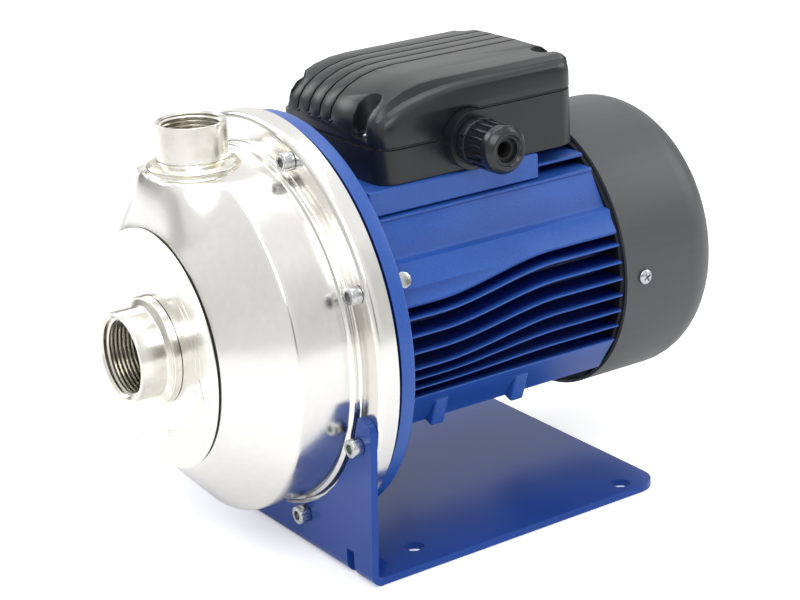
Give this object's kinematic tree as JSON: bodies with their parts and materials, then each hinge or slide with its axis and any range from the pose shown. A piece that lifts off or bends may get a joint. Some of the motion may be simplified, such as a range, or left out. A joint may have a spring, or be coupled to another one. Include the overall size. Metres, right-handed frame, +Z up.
{
  "type": "surface pump",
  "caption": "Close-coupled surface pump: round stainless casing with threaded suction and discharge ports, finned electric motor with terminal box and fan cover, bent sheet bracket.",
  "frame": {"origin": "centre of the foot's underside", "axes": "+X along the shaft from the suction port towards the fan cover, +Z up through the discharge port, -Y towards the side with the cable gland"},
  "size_m": [0.343, 0.226, 0.2433],
  "materials": {
    "stainless": "polished stainless steel sheet",
    "steel": "machined or plated steel",
    "laminations": "stacked electrical steel",
    "blue_sheet": "semi-gloss blue paint on steel sheet",
    "blue_casting": "semi-gloss blue paint on cast aluminium",
    "box_plastic": "satin dark grey plastic",
    "cover_plastic": "satin grey plastic",
    "fan_plastic": "matt black plastic",
    "rubber": "matt black elastomer",
    "ceramic": "ground ceramic face",
    "carbon": "carbon seal face in a bellows",
    "wear_plastic": "filled plastic",
    "copper_winding": "varnished copper wire",
    "board_plastic": "moulded thermoset",
    "capacitor_plastic": "smooth light grey plastic"
  },
  "bodies": {
    "pump_body": {"casing": "stainless", "suction_plate": "stainless", "suction_port": "stainless", "discharge_port": "stainless", "fill_plug": "stainless", "drain_plug": "stainless", "seal_housing": "stainless", "front_bearing_outer": "steel", "rear_bearing_outer": "steel", "wave_washer": "steel", "earth_screw": "steel", "casing_screw_1": "steel", "casing_screw_2": "steel", "casing_screw_3": "steel", "casing_screw_4": "steel", "casing_screw_5": "steel", "casing_screw_6": "steel", "casing_screw_7": "steel", "casing_screw_8": "steel", "fan_cover_screw_1": "steel", "fan_cover_screw_2": "steel", "fan_cover_screw_3": "steel", "box_cover_screw_1": "steel", "box_cover_screw_2": "steel", "box_cover_screw_3": "steel", "box_cover_screw_4": "steel", "stator_core": "laminations", "bracket": "blue_sheet", "motor_adapter": "blue_casting", "motor_frame": "blue_casting", "rear_end_shield": "blue_casting", "terminal_box_base": "box_plastic", "terminal_box_cover": "box_plastic", "gland_body": "box_plastic", "gland_nut": "box_plastic", "fan_cover": "cover_plastic", "casing_o_ring": "rubber", "terminal_box_gasket": "rubber", "gland_seal": "rubber", "seal_seat": "ceramic", "wear_ring": "wear_plastic", "winding_front": "copper_winding", "winding_rear": "copper_winding", "terminal_board": "board_plastic", "capacitor": "capacitor_plastic"},
    "rotor": {"shaft": "steel", "rotor_core": "laminations", "impeller": "stainless", "impeller_nut": "stainless", "seal_head": "carbon", "seal_spring": "steel", "slinger_ring": "rubber", "front_bearing_inner": "steel", "rear_bearing_inner": "steel", "cooling_fan": "fan_plastic", "fan_clip": "steel"},
    "front_cage": {"front_bearing_cage": "steel"},
    "rear_cage": {"rear_bearing_cage": "steel"}
  },
  "joints": [
    {"name": "shaft_spin", "type": "hinge", "parent": "pump_body", "child": "rotor", "pos_m": [-0.0966, 0, 0.1185], "axis": [1, 0, 0], "continuous": true},
    {"name": "front_cage_spin", "type": "hinge", "parent": "pump_body", "child": "front_cage", "pos_m": [-0.0766, 0, 0.1185], "axis": [1, 0, 0], "continuous": true},
    {"name": "rear_cage_spin", "type": "hinge", "parent": "pump_body", "child": "rear_cage", "pos_m": [0.0724, 0, 0.1185], "axis": [1, 0, 0], "continuous": true}
  ],
  "couplings": [
    {"joint": "front_cage_spin", "follows": "shaft_spin", "ratio": 0.4},
    {"joint": "rear_cage_spin", "follows": "shaft_spin", "ratio": 0.4}
  ]
}
